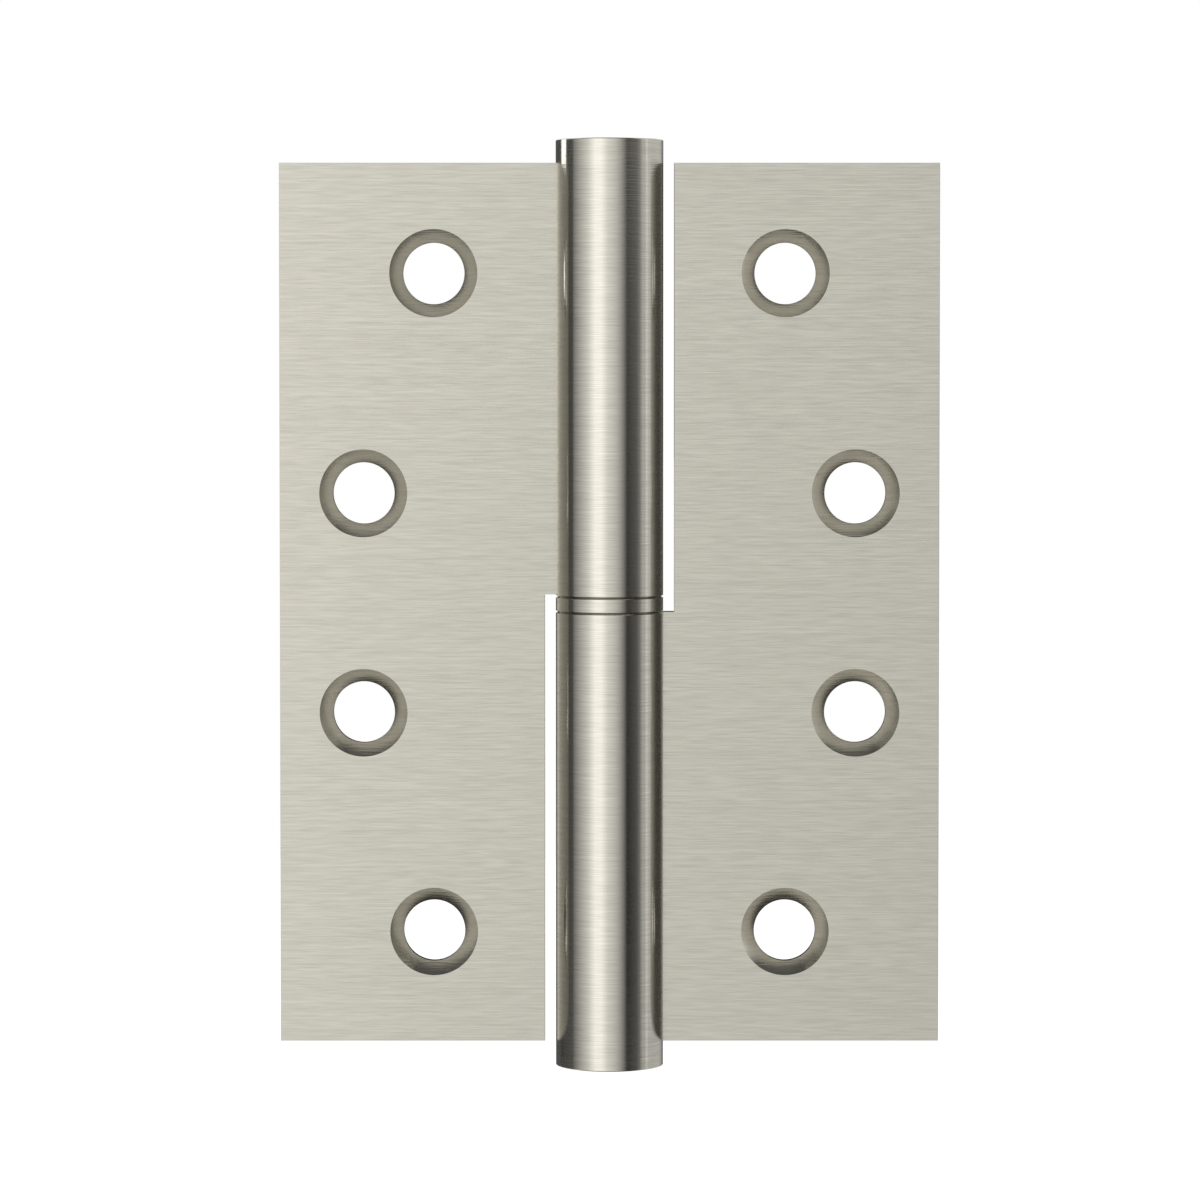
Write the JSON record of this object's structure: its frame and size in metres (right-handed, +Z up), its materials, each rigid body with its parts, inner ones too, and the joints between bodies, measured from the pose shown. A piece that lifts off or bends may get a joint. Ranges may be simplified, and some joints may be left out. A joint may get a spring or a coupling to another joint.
{
  "type": "lift-off hinge",
  "caption": "Lift-off butt hinge with notched flag leaves, countersunk screw holes and plain round knuckles that turn and lift on a hidden pin, in satin nickel.",
  "frame": {"origin": "on the pin's axis, halfway up the hinge, in the middle of the washer", "axes": "+Z up along the pin, the way the lift-off half lifts; -Y the way the countersunk faces look with the hinge lying open flat; +X out along the fixed leaf"},
  "size_m": [0.075, 0.0122, 0.105],
  "materials": {
    "satin_nickel_leaf": "satin nickel plate, brushed in straight lines across the hinge",
    "satin_nickel_knuckle": "satin nickel plate, brushed round the knuckle",
    "satin_nickel_washer": "satin nickel plate, turned",
    "ground_steel_pin": "ground bright steel"
  },
  "bodies": {
    "fixed_half": {"lower_leaf": "satin_nickel_leaf", "lower_knuckle": "satin_nickel_knuckle", "pin": "ground_steel_pin"},
    "washer_ring": {"washer": "satin_nickel_washer"},
    "lift_off_half": {"upper_leaf": "satin_nickel_leaf", "upper_knuckle": "satin_nickel_knuckle"}
  },
  "joints": [
    {"name": "swing", "type": "hinge", "parent": "fixed_half", "child": "washer_ring", "pos_m": [0, 0, 0], "axis": [0, 0, 1], "range_deg": [-90, 180]},
    {"name": "lift_off", "type": "slide", "parent": "washer_ring", "child": "lift_off_half", "axis": [0, 0, 1], "range_m": [0, 0.04]}
  ]
}
